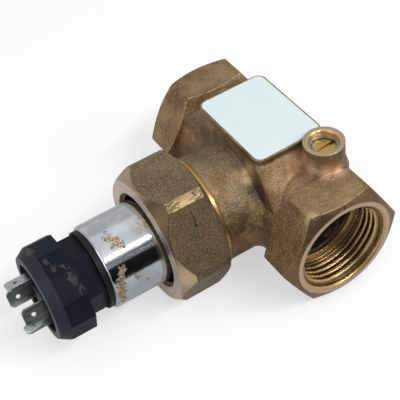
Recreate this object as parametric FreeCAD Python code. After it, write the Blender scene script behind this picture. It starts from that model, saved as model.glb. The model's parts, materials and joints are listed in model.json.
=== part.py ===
import FreeCAD, Part
import math
import os

# Flow switch with two pipe ports in line and a sensor in a branch. All sizes in millimetres.
# Pieces are modelled about the point where the flow axis meets the branch axis: the flow runs
# along X, the branch points along -Y and the name plate faces +Z. export() then moves every
# piece along X, so that the origin is the centre of the inlet face.

V = FreeCAD.Vector

# Fits between pieces
running_gap = 0.05
slot_gap = 0.05
free_gap = 0.3

# Pipe ports
hexagon_sides = 6
inlet_length = 46.3
outlet_length = 44.5
port_flats = 41.0
port_hex_length = 13.5
port_hex_back_slope = 2.5
port_corner_round = 1.6
port_face_radius = 18.9
port_mouth_radius = 17.3
port_thread_radius = 16.65
port_thread_depth = 13.5
port_chamfer_angle = 30.0

# Body shell between the ports
flow_bore_radius = 13.2
barrel_radius = 19.0
bowl_radius = 20.0
chamber_radius = 15.0
bowl_blend = 5.0

# Wall across the flow, with the seat
web_thickness = 4.0
web_centre = -2.5
web_flat_half = 12.5
web_reach = 25.5
web_rise = 15.5
web_bend = 5.0
seat_bore_radius = 9.5
seat_ring_radius = 11.6
seat_ring_height = 0.8

# Branch end and its thread
branch_collar_step = 0.5
branch_collar_start = 29.3
branch_collar_end = 31.3
branch_thread_clearance = 1.5
branch_neck_drop = 0.8
branch_neck_length = 1.2
branch_thread_chamfer = 0.8
branch_end = 41.3
branch_bore_radius = 15.0

# Plate pad and plate
pad_length = 38.0
pad_width = 27.2
pad_centre = -3.2
pad_top = 25.9
pad_lip = 2.4
pad_flare_along = 15.0
pad_flare_across = 2.0
pad_flare_depth = 13.5
pad_foot_corner = 4.0
pad_corner = 3.2
pad_rim = 0.6
plate_recess = 0.3
plate_thickness = 0.45

# Boss with the bypass plug
boss_x = 22.8
boss_y = 8.15
boss_radius = 7.1
boss_top = 28.5
boss_foot_radius = 8.3
boss_flare_top = 22.0
boss_flare_bottom = 17.5
boss_root = 6.0
boss_bore_radius = 5.1
boss_bore_bottom = 19.4
boss_mouth_chamfer = 0.5
nose_bore_radius = 4.05
bypass_channel_radius = 1.3
bypass_channel_height = 15.6
bypass_channel_angle = 28.0
bypass_channel_reach = 15.5
bypass_drain_x = 1.5
bypass_drain_y = -2.6
bypass_drain_bottom = 9.0
bypass_sink = 2.7
bypass_floor = 13.5
bypass_nose_bottom = 13.9
bypass_hollow_radius = 2.6
bypass_hollow_top = 18.0
bypass_slot_width = 1.3
bypass_slot_depth = 1.3
bypass_slot_turn = 95.0
bypass_groove_height = 22.4
o_ring_section = 0.8
circlip_thickness = 0.8
circlip_width = 1.1
circlip_opening = 34.0
circlip_turn = 254.0
circlip_eye_radius = 0.95
circlip_eye_hole_radius = 0.42
circlip_eye_inset = 0.2
circlip_eye_spread = 4.0
circlip_groove_depth = 0.35

# Union nut
nut_wall = 3.0
nut_corner_cut = 0.85
nut_front = 51.6
nut_lip = 6.0
nut_tube_gap = 1.5
nut_front_flat_inset = 0.45
nut_back_flat_inset = 0.65
nut_front_chamfer_angle = 55.0
nut_back_chamfer_angle = 30.0
nut_turn = 32.0
nut_back_gap = 0.3
nut_hole_chamfer = 1.3

# Sensor housing
tube_radius = 15.45
tube_end = 72.0
tube_end_round = 1.2
housing_flange_step = 3.25
gasket_thickness = 1.5
spigot_length = 4.2
spigot_gap = 0.4
tube_wall = 2.45
cavity_floor = 48.0
stem_radius = 4.5
stem_end = 2.2
stem_bore_radius = 3.2
stem_tip_wall = 2.0
stem_tip_round = 0.8
clip_width = 1.6
clip_thickness = 0.7
clip_groove_depth = 0.6
clip_from_tip = 0.9
clip_opening = 60.0

# Shuttle on the stem
seal_thickness = 1.0
seal_inner_radius = 8.6
seal_outer_radius = 12.2
piston_radius = 12.8
piston_head = 3.2
piston_inset = 0.2
piston_rim_chamfer = 0.4
hub_radius = 9.6
hub_length = 11.5
magnet_length = 6.0
magnet_wall = 1.0
retainer_thickness = 1.0
spring_mean_radius = 11.2
spring_wire_radius = 0.5
spring_wire_sides = 6
spring_turns = 7

# Reed switch and wires
reed_radius = 1.4
reed_length = 14.0
reed_front = 19.5
lead_radius = 0.3
lead_offset = 2.1
lead_bend_start = 69.0
lead_tail_level = 78.4
lead_jog = 1.2
lead_foot = 2.0
potting_end = 65.0

# Plug header
plug_gasket_inset = 1.05
plug_gasket_end = 73.8
collar_flats = 23.8
collar_turn = 41.5
collar_end = 80.8
collar_bore_gap = 0.85
collar_spigot_gap = 0.4
collar_spigot_wall = 1.7
collar_spigot_start = 66.0
header_sides = 12
header_corner_radius = 17.7
header_turn = 13.5
header_face = 93.6
header_face_radius = 15.2
header_facet_end = 89.6
header_edge_round = 0.4
recess_radius = 12.6
recess_depth = 3.0
block_side = 8.4
block_height = 2.4
insert_radius = 2.2
insert_bore_radius = 1.25
insert_length = 8.0
insert_floor = 1.0
contact_turn = 23.0
blade_distance = 8.6
blade_width = 6.3
blade_thickness = 0.8
blade_tip = 101.6
blade_tail = 77.6
blade_tip_chamfer = 1.0
blade_hole_radius = 0.8
blade_hole_from_tip = 3.6
rivet_radius = 0.9
rivet_distance = 11.0
rivet_length = 4.0
rivet_stand = 0.3

# Sizes that follow from the ones above
nut_hole_radius = tube_radius + nut_tube_gap
cavity_radius = tube_radius - tube_wall
housing_flange_radius = tube_radius + housing_flange_step
branch_thread_radius = housing_flange_radius + branch_thread_clearance
branch_neck_radius = branch_thread_radius - branch_neck_drop
branch_collar_radius = branch_thread_radius + branch_collar_step
plug_gasket_radius = tube_radius - plug_gasket_inset
collar_spigot_radius = cavity_radius - collar_spigot_gap
blade_reach = math.hypot(blade_distance + blade_thickness / 2, blade_width / 2)
collar_bore_radius = blade_reach + collar_bore_gap
nut_bore_radius = branch_thread_radius + running_gap
nut_flats = 2 * (nut_bore_radius + nut_wall)
nut_turned_radius = nut_flats / 2 / math.cos(math.pi / hexagon_sides) - nut_corner_cut
nut_front_flat_radius = nut_flats / 2 - nut_front_flat_inset
nut_back_flat_radius = nut_flats / 2 - nut_back_flat_inset
nut_back = branch_collar_end + nut_back_gap
flange_front = branch_end + gasket_thickness
flange_back = nut_front - nut_lip
seat_level = -web_centre + web_thickness / 2 + seat_ring_height
seal_face = seat_level + free_gap
piston_face = seal_face + seal_thickness
piston_back = piston_face + piston_head
hub_back = piston_back + hub_length
shuttle_bore_radius = stem_radius + running_gap
spigot_face = branch_end - spigot_length
magnet_inner_radius = shuttle_bore_radius + magnet_wall
magnet_outer_radius = hub_radius - magnet_wall
plate_bottom = pad_top - plate_recess
bypass_top = boss_top - bypass_sink
recess_floor = header_face - recess_depth
block_top = recess_floor + block_height


def on_branch(shape):
    """Lays a piece modelled along +Z onto the branch: its Z becomes the distance out along -Y."""
    placed = shape.copy()
    placed.rotate(V(0, 0, 0), V(1, 0, 0), 90)
    return placed


def on_outlet(shape):
    """Lays a piece modelled along +Z onto the outlet side of the flow axis."""
    placed = shape.copy()
    placed.rotate(V(0, 0, 0), V(0, 1, 0), 90)
    return placed


def on_inlet(shape):
    """Lays a piece modelled along +Z onto the inlet side of the flow axis."""
    placed = on_outlet(shape)
    placed.rotate(V(0, 0, 0), V(0, 0, 1), 180)
    return placed


def turned(outline):
    """Solid of revolution about Z from (radius, height) corners."""
    corners = [V(radius, 0, height) for radius, height in outline]
    face = Part.Face(Part.makePolygon(corners + corners[:1]))
    return face.revolve(V(0, 0, 0), V(0, 0, 1), 360)


def cylinder(radius, low, high):
    """Cylinder about Z between two heights."""
    return Part.makeCylinder(radius, high - low, V(0, 0, low), V(0, 0, 1))


def ring(inner, outer, low, high):
    """Flat ring about Z."""
    return cylinder(outer, low, high).cut(cylinder(inner, low, high))


def prism(sides, corner_radius, low, high, turn):
    """Regular prism about Z. turn is the angle of the first corner from X."""
    corners = []
    for k in range(sides):
        angle = math.radians(turn + k * 360.0 / sides)
        corners.append(V(corner_radius * math.cos(angle), corner_radius * math.sin(angle), low))
    face = Part.Face(Part.makePolygon(corners + corners[:1]))
    return face.extrude(V(0, 0, high - low))


def hexagon(flats, low, high, turn):
    """Hexagon prism about Z with a flat whose normal is at the angle turn."""
    return prism(hexagon_sides, flats / 2 / math.cos(math.pi / hexagon_sides), low, high,
                 turn + 180.0 / hexagon_sides)


def box(size_x, size_y, low, high):
    """Box centred on Z between two heights."""
    return Part.makeBox(size_x, size_y, high - low, V(-size_x / 2, -size_y / 2, low))


def upright_edges(shape):
    """Edges that run along Z."""
    found = []
    for edge in shape.Edges:
        if len(edge.Vertexes) == 2:
            run = edge.Vertexes[1].Point.sub(edge.Vertexes[0].Point)
            if abs(run.x) < 1e-6 and abs(run.y) < 1e-6:
                found.append(edge)
    return found


def rise(run, angle):
    """Height that a slope of the given angle gains over a run."""
    return run * math.tan(math.radians(angle))


# Body

def port_hex(port_face):
    """One port's hexagon along Z, with its turned front and the sloping casting behind it."""
    hex_back = port_face - port_hex_length
    corner_radius = port_flats / 2 / math.cos(math.pi / hexagon_sides)
    front_drop = rise(corner_radius - port_face_radius, port_chamfer_angle)
    blank = hexagon(port_flats, hex_back - port_hex_back_slope, port_face, 0)
    blank = blank.makeFillet(port_corner_round, upright_edges(blank))
    envelope = turned([
        (0, hex_back - port_hex_back_slope),
        (barrel_radius, hex_back - port_hex_back_slope),
        (corner_radius, hex_back),
        (corner_radius, port_face - front_drop),
        (port_face_radius, port_face),
        (0, port_face),
    ])
    return blank.common(envelope)


def port_bore(port_face):
    """Space inside one port along Z: mouth chamfer, thread wall and the cone to the flow bore."""
    port_bore_end = port_face - port_thread_depth
    mouth = port_mouth_radius - port_thread_radius
    shoulder = port_thread_radius - flow_bore_radius
    return turned([
        (0, port_bore_end - shoulder / 2),
        (flow_bore_radius, port_bore_end - shoulder / 2),
        (port_thread_radius, port_bore_end),
        (port_thread_radius, port_face - mouth),
        (port_mouth_radius, port_face),
        (0, port_face),
    ])


def turned_dome(radius, top):
    """Cylinder about Z up to top, with a half sphere below Z = 0."""
    corner = V(radius, 0, 0)
    bottom = V(0, 0, -radius)
    slant = radius * math.sqrt(0.5)
    arc = Part.Arc(bottom, V(slant, 0, -slant), corner).toShape()
    side = Part.LineSegment(corner, V(radius, 0, top)).toShape()
    lid = Part.LineSegment(V(radius, 0, top), V(0, 0, top)).toShape()
    axis = Part.LineSegment(V(0, 0, top), bottom).toShape()
    face = Part.Face(Part.Wire([arc, side, lid, axis]))
    return face.revolve(V(0, 0, 0), V(0, 0, 1), 360)


def branch_end_outside():
    """Machined collar and thread of the branch, along Z."""
    return turned([
        (0, branch_collar_start),
        (branch_collar_radius, branch_collar_start),
        (branch_collar_radius, branch_collar_end),
        (branch_neck_radius, branch_collar_end),
        (branch_neck_radius, branch_collar_end + branch_neck_length),
        (branch_thread_radius, branch_collar_end + branch_neck_length + branch_thread_chamfer),
        (branch_thread_radius, branch_end - branch_thread_chamfer),
        (branch_thread_radius - branch_thread_chamfer, branch_end),
        (0, branch_end),
    ])


def barrel_with_bowl():
    """Cross of the flow barrel and the bowl with the rounded joint of a casting."""
    barrel = on_outlet(cylinder(barrel_radius, port_hex_length - inlet_length, outlet_length - port_hex_length))
    joined = barrel.fuse(on_branch(turned_dome(bowl_radius, branch_collar_start))).removeSplitter()
    seams = []
    for edge in joined.Edges:
        if not edge.Degenerated and isinstance(edge.Curve, Part.BSplineCurve):
            seams.append(edge)
    return joined.makeFillet(bowl_blend, seams)


def rounded_rectangle(length, width, corner, height):
    """Wire of a rectangle with round corners at a height, centred on the pad."""
    x, y, c = length / 2, width / 2, corner
    cut = c * (1 - math.sqrt(0.5))
    edges = []
    for sx, sy, swap in ((1, 1, False), (-1, 1, True), (-1, -1, False), (1, -1, True)):
        first = V(sx * x, sy * (y - c), 0)
        last = V(sx * (x - c), sy * y, 0)
        middle = V(sx * (x - cut), sy * (y - cut), 0)
        if swap:
            first, last = last, first
        edges.append((first, middle, last))
    pieces = []
    for k, (first, middle, last) in enumerate(edges):
        pieces.append(Part.Arc(first, middle, last).toShape())
        pieces.append(Part.LineSegment(last, edges[(k + 1) % 4][0]).toShape())
    wire = Part.Wire(pieces)
    wire.translate(V(pad_centre, 0, height))
    return wire


def pad():
    """Plate pad: an upright lip on a base that flares out into the casting."""
    lip_bottom = pad_top - pad_lip
    top = rounded_rectangle(pad_length, pad_width, pad_corner, lip_bottom)
    lip = Part.Face(top).extrude(V(0, 0, pad_lip))
    foot = rounded_rectangle(pad_length + 2 * pad_flare_along, pad_width + 2 * pad_flare_across,
                             pad_foot_corner, lip_bottom - pad_flare_depth)
    base = Part.makeLoft([foot, top], True, True)
    return lip.fuse(base)


def plate_outline(height):
    """Outline of the plate's recess in the pad."""
    return rounded_rectangle(pad_length - 2 * pad_rim, pad_width - 2 * pad_rim,
                             pad_corner - pad_rim, height)


def boss():
    """Round boss of the bypass plug, with a flared foot, down into the barrel."""
    post = turned([
        (0, boss_root),
        (boss_foot_radius, boss_root),
        (boss_foot_radius, boss_flare_bottom),
        (boss_radius, boss_flare_top),
        (boss_radius, boss_top),
        (0, boss_top),
    ])
    post.translate(V(boss_x, boss_y, 0))
    return post


def bypass_bores():
    """Stepped hole of the bypass plug, the channel from the inlet side and the drain to the outlet."""
    wide = cylinder(boss_bore_radius, boss_bore_bottom, boss_top)
    narrow = cylinder(nose_bore_radius, bypass_floor, boss_top)
    drain = cylinder(bypass_channel_radius, bypass_drain_bottom, boss_bore_bottom)
    drain.translate(V(bypass_drain_x, bypass_drain_y, 0))
    mouth = Part.makeCone(boss_bore_radius, boss_bore_radius + boss_mouth_chamfer, boss_mouth_chamfer,
                          V(0, 0, boss_top - boss_mouth_chamfer))
    groove = cylinder(boss_bore_radius + circlip_groove_depth, bypass_top, bypass_top + circlip_thickness)
    fall = rise(1, bypass_channel_angle)
    start = V(0, 0, bypass_channel_height + nose_bore_radius * fall)
    run = V(-bypass_channel_reach, 0, -bypass_channel_reach * fall)
    channel = Part.makeCylinder(bypass_channel_radius, run.Length, start, run)
    bores = wide.fuse([narrow, mouth, groove, drain, channel])
    bores.translate(V(boss_x, boss_y, 0))
    return bores


def web():
    """Wall that bends across the flow like an S, with the seat ring and its hole."""
    low = web_centre - web_thickness / 2
    high = web_centre + web_thickness / 2
    run = [(-web_reach, -web_rise), (-web_flat_half, 0), (web_flat_half, 0), (web_reach, web_rise)]
    corners = [V(x, low + y, -chamber_radius) for x, y in run]
    corners += [V(x, high + y, -chamber_radius) for x, y in reversed(run)]
    wall = Part.Face(Part.makePolygon(corners + corners[:1])).extrude(V(0, 0, 2 * chamber_radius))
    bends = []
    for edge in upright_edges(wall):
        if abs(abs(edge.Vertexes[0].X) - web_flat_half) < 1e-6:
            bends.append(edge)
    wall = wall.makeFillet(web_bend, bends)
    seat = on_branch(ring(seat_bore_radius, seat_ring_radius, -web_centre, seat_level))
    hole = on_branch(cylinder(seat_bore_radius, -chamber_radius, chamber_radius))
    return wall.fuse(seat).cut(hole)


def flow_space():
    """Everything that the water fills, before the web divides it."""
    bore = on_outlet(cylinder(flow_bore_radius, port_thread_depth - inlet_length, outlet_length - port_thread_depth))
    chamber = on_branch(turned_dome(chamber_radius, branch_end))
    return bore.fuse([chamber, on_outlet(port_bore(outlet_length)), on_inlet(port_bore(inlet_length))])


def valve_body():
    """Cast body with its ports, bowl, branch, plate pad, boss and dividing web."""
    outside = barrel_with_bowl()
    outside = outside.fuse([
        on_outlet(port_hex(outlet_length)),
        on_inlet(port_hex(inlet_length)),
        on_branch(branch_end_outside()),
        pad(),
        boss(),
    ]).removeSplitter()
    space = flow_space().cut(web())
    recess = Part.Face(plate_outline(plate_bottom)).extrude(V(0, 0, plate_recess))
    return outside.cut(space).cut(bypass_bores()).cut(recess).removeSplitter()


def label_plate():
    """Thin bare plate in the pad's recess."""
    return Part.Face(plate_outline(plate_bottom)).extrude(V(0, 0, plate_thickness))


# Union nut and sensor housing

def union_nut():
    """Hexagon nut with turned corners, a lip towards the tube and a wide threaded bore."""
    front_drop = rise(nut_turned_radius - nut_front_flat_radius, nut_front_chamfer_angle)
    back_drop = rise(nut_turned_radius - nut_back_flat_radius, nut_back_chamfer_angle)
    blank = hexagon(nut_flats, nut_back, nut_front, nut_turn)
    envelope = turned([
        (nut_bore_radius, nut_back),
        (nut_back_flat_radius, nut_back),
        (nut_turned_radius, nut_back + back_drop),
        (nut_turned_radius, nut_front - front_drop),
        (nut_front_flat_radius, nut_front),
        (nut_hole_radius + nut_hole_chamfer, nut_front),
        (nut_hole_radius, nut_front - nut_hole_chamfer),
        (nut_hole_radius, flange_back),
        (nut_bore_radius, flange_back),
    ])
    return on_branch(blank.common(envelope))


def flange_gasket():
    """Flat seal between the branch end and the housing's flange."""
    return on_branch(ring(branch_bore_radius, housing_flange_radius, branch_end, flange_front))


def sensor_housing():
    """Plated housing: tube, flange for the nut, spigot in the branch and closed stem."""
    clip_low = stem_end + clip_from_tip
    outline = [
        (0, stem_end),
        (stem_radius - stem_tip_round, stem_end),
        (stem_radius, stem_end + stem_tip_round),
        (stem_radius, clip_low),
        (stem_radius - clip_groove_depth, clip_low),
        (stem_radius - clip_groove_depth, clip_low + clip_thickness),
        (stem_radius, clip_low + clip_thickness),
        (stem_radius, spigot_face),
        (branch_bore_radius - spigot_gap, spigot_face),
        (branch_bore_radius - spigot_gap, flange_front),
        (housing_flange_radius, flange_front),
        (housing_flange_radius, flange_back),
        (tube_radius, flange_back),
        (tube_radius, tube_end),
        (cavity_radius, tube_end),
        (cavity_radius, cavity_floor),
        (stem_bore_radius, cavity_floor),
        (stem_bore_radius, stem_end + stem_tip_wall),
        (0, stem_end + stem_tip_wall),
    ]
    housing = turned(outline)
    rim = []
    for edge in housing.Edges:
        span = edge.BoundBox
        if span.ZMin > tube_end - 0.01 and span.XMax > tube_radius - 0.01:
            rim.append(edge)
    return on_branch(housing.makeFillet(tube_end_round, rim))


def open_ring(inner, outer, low, high, opening, turn):
    """Flat ring about Z with a gap of the given angle centred on turn."""
    reach = 3 * outer
    half = math.radians(opening / 2)
    corners = [V(0, 0, low), V(reach * math.cos(half), -reach * math.sin(half), low),
               V(reach * math.cos(half), reach * math.sin(half), low)]
    wedge = Part.Face(Part.makePolygon(corners + corners[:1])).extrude(V(0, 0, high - low))
    wedge.rotate(V(0, 0, 0), V(0, 0, 1), turn)
    return ring(inner, outer, low, high).cut(wedge)


def stem_clip():
    """Open clip in the groove at the stem's tip."""
    low = stem_end + clip_from_tip
    inner = stem_radius - clip_groove_depth
    return on_branch(open_ring(inner, inner + clip_width, low, low + clip_thickness, clip_opening, 0))


# Shuttle

def shuttle_piston():
    """Piston head and hub on the stem, with the magnet's pocket open at the back."""
    return on_branch(turned([
        (shuttle_bore_radius, seal_face + piston_inset),
        (seal_inner_radius, seal_face + piston_inset),
        (seal_inner_radius, piston_face),
        (seal_outer_radius, piston_face),
        (piston_radius, piston_face + piston_rim_chamfer),
        (piston_radius, piston_back),
        (hub_radius, piston_back),
        (hub_radius, hub_back),
        (magnet_outer_radius, hub_back),
        (magnet_outer_radius, hub_back - retainer_thickness - magnet_length),
        (magnet_inner_radius, hub_back - retainer_thickness - magnet_length),
        (magnet_inner_radius, hub_back),
        (shuttle_bore_radius, hub_back),
    ]))


def shuttle_seal():
    """Soft ring on the piston's face."""
    return on_branch(ring(seal_inner_radius, seal_outer_radius, seal_face, piston_face))


def ring_magnet():
    """Magnet in the hub's pocket."""
    low = hub_back - retainer_thickness - magnet_length
    return on_branch(ring(magnet_inner_radius, magnet_outer_radius, low, low + magnet_length))


def magnet_retainer():
    """Ring that closes the magnet's pocket."""
    return on_branch(ring(magnet_inner_radius, magnet_outer_radius, hub_back - retainer_thickness, hub_back))


def return_spring():
    """Coil spring between the piston's head and the housing's spigot."""
    low = piston_back + spring_wire_radius + running_gap
    high = spigot_face - spring_wire_radius - running_gap
    pitch = (high - low) / spring_turns
    path = Part.makeHelix(pitch, high - low, spring_mean_radius)
    corners = []
    for k in range(spring_wire_sides):
        angle = 2 * math.pi * k / spring_wire_sides
        corners.append(V(spring_mean_radius + spring_wire_radius * math.cos(angle), 0,
                         spring_wire_radius * math.sin(angle)))
    section = Part.makePolygon(corners + corners[:1])
    coil = Part.Wire(path).makePipeShell([section], True, True)
    coil.translate(V(0, 0, low))
    return on_branch(coil)


# Bypass plug

def bypass_plug():
    """Slotted turning plug: head in the boss, hollow nose with a side window to the channel."""
    head_radius = boss_bore_radius - running_gap
    nose_radius = nose_bore_radius - running_gap
    groove_radius = head_radius - 2 * o_ring_section + running_gap
    solid = turned([
        (0, bypass_nose_bottom),
        (nose_radius, bypass_nose_bottom),
        (nose_radius, boss_bore_bottom + free_gap),
        (head_radius, boss_bore_bottom + free_gap),
        (head_radius, bypass_groove_height - o_ring_section),
        (groove_radius, bypass_groove_height - o_ring_section),
        (groove_radius, bypass_groove_height + o_ring_section),
        (head_radius, bypass_groove_height + o_ring_section),
        (head_radius, bypass_top - free_gap),
        (0, bypass_top - free_gap),
    ])
    hollow = cylinder(bypass_hollow_radius, bypass_nose_bottom, bypass_hollow_top)
    window = Part.makeCylinder(bypass_channel_radius, nose_radius + 1,
                               V(0, 0, bypass_channel_height), V(-1, 0, 0))
    slot = box(3 * head_radius, bypass_slot_width, bypass_top - free_gap - bypass_slot_depth, bypass_top)
    slot.rotate(V(0, 0, 0), V(0, 0, 1), bypass_slot_turn)
    plug = solid.cut(hollow.fuse(window)).cut(slot)
    plug.translate(V(boss_x, boss_y, 0))
    return plug


def bypass_o_ring():
    """Seal ring in the plug's groove."""
    head_radius = boss_bore_radius - running_gap
    seal = Part.makeTorus(head_radius - o_ring_section, o_ring_section - running_gap,
                          V(boss_x, boss_y, bypass_groove_height), V(0, 0, 1))
    return seal


def bypass_circlip():
    """Inside circlip with two eyelets, in its groove above the plug."""
    low = bypass_top
    high = bypass_top + circlip_thickness
    outer = boss_bore_radius + circlip_groove_depth
    clip = open_ring(outer - circlip_width, outer, low, high, circlip_opening, circlip_turn)
    eye_distance = outer - circlip_width - circlip_eye_inset
    half = circlip_opening / 2 + circlip_eye_spread
    for side in (-1, 1):
        angle = math.radians(circlip_turn + side * half)
        place = V(eye_distance * math.cos(angle), eye_distance * math.sin(angle), low)
        clip = clip.fuse(Part.makeCylinder(circlip_eye_radius, circlip_thickness, place))
        clip = clip.cut(Part.makeCylinder(circlip_eye_hole_radius, circlip_thickness, place))
    clip.translate(V(boss_x, boss_y, 0))
    return clip.removeSplitter()


# Plug header

def plug_gasket():
    """Dark ring between the tube's end and the collar."""
    return on_branch(ring(collar_spigot_radius, plug_gasket_radius, tube_end, plug_gasket_end))


def hex_collar():
    """Hexagon collar with a hollow spigot in the tube."""
    head = hexagon(collar_flats, plug_gasket_end, collar_end, collar_turn)
    spigot = cylinder(collar_spigot_radius, collar_spigot_start, plug_gasket_end)
    spigot_bore = cylinder(collar_spigot_radius - collar_spigot_wall, collar_spigot_start, plug_gasket_end)
    head_bore = cylinder(collar_bore_radius, plug_gasket_end, collar_end)
    return on_branch(head.fuse(spigot).cut(head_bore).cut(spigot_bore))


def header_flange():
    """Twelve-sided flange with its chamfered face, centre block and slots for the tabs."""
    blank = prism(header_sides, header_corner_radius, collar_end, header_face, header_turn - 180.0 / header_sides)
    blank = blank.makeFillet(header_edge_round, upright_edges(blank))
    envelope = turned([
        (0, collar_end),
        (header_corner_radius, collar_end),
        (header_corner_radius, header_facet_end),
        (header_face_radius, header_face),
        (recess_radius, header_face),
        (recess_radius, recess_floor),
        (0, recess_floor),
    ])
    flange = blank.common(envelope)
    block = box(block_side, block_side, collar_end, block_top)
    block.rotate(V(0, 0, 0), V(0, 0, 1), contact_turn)
    flange = flange.fuse(block)
    flange = flange.cut(cylinder(insert_radius, block_top - insert_length, block_top))
    for k in range(4):
        slot = box(blade_thickness + 2 * slot_gap, blade_width + 2 * slot_gap, collar_end, block_top)
        slot.translate(V(blade_distance, 0, 0))
        slot.rotate(V(0, 0, 0), V(0, 0, 1), contact_turn + 90 * k)
        flange = flange.cut(slot)
    for place in rivet_places():
        hole = cylinder(rivet_radius, recess_floor - rivet_length, recess_floor)
        hole.translate(place)
        flange = flange.cut(hole)
    return on_branch(flange.removeSplitter())


def rivet_places():
    """Centres of the two rivets beside the outer tabs."""
    places = []
    for turn in (contact_turn + 90, contact_turn - 90):
        angle = math.radians(turn)
        places.append(V(rivet_distance * math.cos(angle), rivet_distance * math.sin(angle), 0))
    return places


def header_rivets():
    """Two rivets, their heads just proud of the face."""
    heads = []
    for place in rivet_places():
        head = cylinder(rivet_radius, recess_floor - rivet_length, recess_floor + rivet_stand)
        head.translate(place)
        heads.append(on_branch(head))
    return Part.makeCompound(heads)


def centre_insert():
    """Threaded insert in the centre block, closed at the bottom."""
    low = block_top - insert_length
    blank = cylinder(insert_radius, low, block_top)
    return on_branch(blank.cut(cylinder(insert_bore_radius, low + insert_floor, block_top)))


def blade(turn):
    """One flat tab with a chamfered tip and a round hole, its broad side facing the centre."""
    half = blade_width / 2
    side = blade_tip_chamfer
    outline = [
        V(0, -half, blade_tail),
        V(0, half, blade_tail),
        V(0, half, blade_tip - side),
        V(0, half - side, blade_tip),
        V(0, side - half, blade_tip),
        V(0, -half, blade_tip - side),
    ]
    tab = Part.Face(Part.makePolygon(outline + outline[:1])).extrude(V(blade_thickness, 0, 0))
    tab.translate(V(blade_distance - blade_thickness / 2, 0, 0))
    hole = Part.makeCylinder(blade_hole_radius, 2 * blade_distance,
                             V(0, 0, blade_tip - blade_hole_from_tip), V(1, 0, 0))
    tab = tab.cut(hole)
    tab.rotate(V(0, 0, 0), V(0, 0, 1), turn)
    return on_branch(tab)


# Reed switch, wires and potting

def reed_switch():
    """Glass capsule with round ends in the stem."""
    low, high = reed_front, reed_front + reed_length
    straight = cylinder(reed_radius, low + reed_radius, high - reed_radius)
    for height in (low + reed_radius, high - reed_radius):
        straight = straight.fuse(Part.makeSphere(reed_radius, V(0, 0, height)))
    return on_branch(straight.removeSplitter())


def wire_along(points):
    """Round wire through the points, with ball corners."""
    runs = []
    for start, end in zip(points, points[1:]):
        run = end.sub(start)
        runs.append(Part.makeCylinder(lead_radius, run.Length, start, run))
    for corner in points[1:-1]:
        runs.append(Part.makeSphere(lead_radius, corner))
    return runs[0].fuse(runs[1:]).removeSplitter()


def turned_point(distance, turn, height):
    """Point at a distance from Z in the direction turn."""
    angle = math.radians(turn)
    return V(distance * math.cos(angle), distance * math.sin(angle), height)


def reed_lead_back():
    """Wire from the capsule's back to the first tab."""
    tab_side = blade_distance - blade_thickness / 2
    return wire_along([
        V(0, 0, reed_front + reed_length),
        V(0, 0, lead_bend_start),
        turned_point(tab_side - lead_foot, contact_turn, lead_tail_level),
        turned_point(tab_side, contact_turn, lead_tail_level),
    ])


def reed_lead_front():
    """Wire from the capsule's front, back along the stem to the opposite tab."""
    tab_side = blade_distance - blade_thickness / 2
    turn = contact_turn + 180
    return wire_along([
        V(0, 0, reed_front),
        V(0, 0, reed_front - lead_jog),
        turned_point(lead_offset, turn, reed_front - lead_jog),
        turned_point(lead_offset, turn, lead_bend_start),
        turned_point(tab_side - lead_foot, turn, lead_tail_level),
        turned_point(tab_side, turn, lead_tail_level),
    ])


def earth_lead():
    """Wire from the earth tab down to the housing's floor."""
    turn = contact_turn - 90
    distance = blade_distance - blade_thickness / 2 - lead_radius
    return wire_along([
        turned_point(distance, turn, cavity_floor),
        turned_point(distance, turn, lead_tail_level),
    ])


def potting():
    """Resin in the housing's cavity, round the wires."""
    return on_branch(cylinder(cavity_radius, cavity_floor, potting_end).cut(wire_along_all()))


def wire_along_all():
    """Plain rods where the wires cross the potting."""
    rods = [
        Part.makeCylinder(lead_radius, potting_end - cavity_floor, V(0, 0, cavity_floor)),
        Part.makeCylinder(lead_radius, potting_end - cavity_floor,
                          turned_point(lead_offset, contact_turn + 180, cavity_floor)),
        Part.makeCylinder(lead_radius, potting_end - cavity_floor,
                          turned_point(blade_distance - blade_thickness / 2 - lead_radius,
                                       contact_turn - 90, cavity_floor)),
    ]
    return rods[0].fuse(rods[1:])


def export(name, shape):
    """Writes one piece, moved so that the origin is the centre of the inlet face."""
    placed = shape.copy()
    placed.translate(V(inlet_length, 0, 0))
    placed.exportStep("parts/" + name + ".step")
    print(name, len(placed.Solids), placed.isValid(), round(placed.Volume, 2))


def main():
    """Builds and writes every piece."""
    os.makedirs("parts", exist_ok=True)
    pieces = {
        "valve_body": valve_body(),
        "label_plate": label_plate(),
        "union_nut": union_nut(),
        "flange_gasket": flange_gasket(),
        "sensor_housing": sensor_housing(),
        "stem_clip": stem_clip(),
        "shuttle_piston": shuttle_piston(),
        "shuttle_seal": shuttle_seal(),
        "ring_magnet": ring_magnet(),
        "magnet_retainer": magnet_retainer(),
        "return_spring": return_spring(),
        "bypass_plug": bypass_plug(),
        "bypass_o_ring": bypass_o_ring(),
        "bypass_circlip": bypass_circlip(),
        "plug_gasket": plug_gasket(),
        "hex_collar": hex_collar(),
        "header_flange": header_flange(),
        "header_rivets": header_rivets(),
        "centre_insert": centre_insert(),
        "contact_blade_1": blade(contact_turn),
        "contact_blade_2": blade(contact_turn + 180),
        "contact_blade_3": blade(contact_turn + 90),
        "earth_blade": blade(contact_turn - 90),
        "reed_switch": reed_switch(),
        "reed_lead_back": on_branch(reed_lead_back()),
        "reed_lead_front": on_branch(reed_lead_front()),
        "earth_lead": on_branch(earth_lead()),
        "potting": potting(),
    }
    for name, shape in pieces.items():
        export(name, shape)


main()
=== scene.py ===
import json
import math
import bmesh
import bpy
from mathutils import Matrix, Vector


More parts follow.
